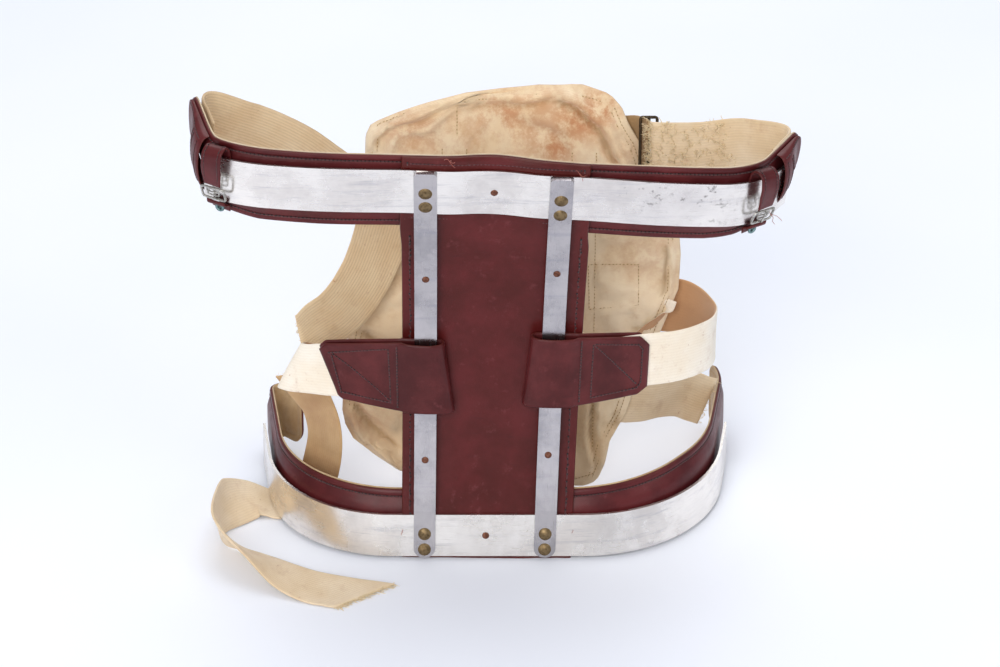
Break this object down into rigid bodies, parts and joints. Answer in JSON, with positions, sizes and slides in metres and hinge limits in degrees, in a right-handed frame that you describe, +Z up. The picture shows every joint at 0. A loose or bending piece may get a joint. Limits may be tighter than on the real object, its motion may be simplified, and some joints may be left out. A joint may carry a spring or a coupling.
{
  "type": "chair-back lumbar support brace",
  "caption": "Chair-back lumbar support brace: two riveted aluminium bands and uprights, leather pads, canvas apron and webbing straps.",
  "frame": {"origin": "on the surface that the brace stands on, at the foot of the back panel, midway between the feet of the two uprights", "axes": "+Z up, +Y from the back panel towards the wearer, +X to the right seen from behind the wearer"},
  "size_m": [0.439, 0.269, 0.3384],
  "materials": {
    "aluminium": "polished sheet and bar with fine scratches",
    "brown_leather": "dark maroon-brown smooth leather, worn",
    "suede": "pale tan suede lining",
    "felt": "pressed felt or stiff interlining, hidden",
    "webbing": "cream cotton webbing",
    "canvas": "cream cotton canvas with rust stains",
    "brass": "dulled brass",
    "copper": "tarnished copper alloy",
    "nickel": "worn nickel plate",
    "eyelet_metal": "grey-green enamelled eyelet",
    "bronzed_steel": "dark bronzed steel",
    "spring_steel": "flat spring steel, hidden"
  },
  "bodies": {
    "frame": {"panel_rivets": "copper", "frame_rivets": "brass", "pelvic_band": "aluminium", "thoracic_band": "aluminium", "left_upright": "aluminium", "right_upright": "aluminium", "back_panel_leather": "brown_leather", "back_panel_lining": "suede", "panel_head_leather": "brown_leather", "pelvic_pad_leather": "brown_leather", "pelvic_pad_felt": "felt", "pelvic_pad_lining": "suede", "thoracic_pad_leather": "brown_leather", "thoracic_pad_felt": "felt", "thoracic_pad_lining": "suede", "lower_left_strap": "webbing", "loose_strap_tail": "webbing", "left_apron_strap": "webbing", "upper_left_strap": "webbing", "upper_right_strap": "webbing", "apron_webbing_tab": "webbing", "lower_right_strap": "webbing", "apron_front_canvas": "canvas", "apron_core": "felt", "apron_back_canvas": "canvas", "apron_stays": "spring_steel", "left_retaining_strap": "brown_leather", "left_buckle_tab": "brown_leather", "left_end_pocket": "brown_leather", "right_retaining_strap": "brown_leather", "right_buckle_tab": "brown_leather", "right_end_pocket": "brown_leather", "tab_eyelets": "eyelet_metal"},
    "left_loop": {"left_upright_loop": "brown_leather", "left_side_strap": "webbing"},
    "right_loop": {"right_upright_loop": "brown_leather", "right_side_strap": "webbing"},
    "left_buckle": {"left_buckle_frame": "nickel", "left_buckle_tongue": "nickel"},
    "right_buckle": {"right_buckle_frame": "nickel", "right_buckle_tongue": "nickel"},
    "slide": {"slide_buckle": "bronzed_steel"}
  },
  "joints": [
    {"name": "left_loop_travel", "type": "hinge", "parent": "frame", "child": "left_loop", "pos_m": [-0.04177, -0.44956, 0.16954], "axis": [0.9999, 0, -0.0164], "range_deg": [-3, 4.5], "deforming": ["left_side_strap"]},
    {"name": "right_loop_travel", "type": "hinge", "parent": "frame", "child": "right_loop", "pos_m": [0.04987, -0.44956, 0.16947], "axis": [0.9995, 0, -0.0323], "range_deg": [-3, 4.5], "deforming": ["right_side_strap"]},
    {"name": "left_buckle_swing", "type": "hinge", "parent": "frame", "child": "left_buckle", "pos_m": [-0.18524, 0.01509, 0.29262], "axis": [0.8973, -0.4383, -0.0512], "range_deg": [0, 60]},
    {"name": "right_buckle_swing", "type": "hinge", "parent": "frame", "child": "right_buckle", "pos_m": [0.1929, 0.02354, 0.27081], "axis": [0.8049, 0.5916, -0.0471], "range_deg": [0, 60]},
    {"name": "slide_swing", "type": "hinge", "parent": "frame", "child": "slide", "pos_m": [0.1149, 0.138, 0.274], "axis": [0, 0.1736, 0.9848], "range_deg": [0, 12]}
  ]
}
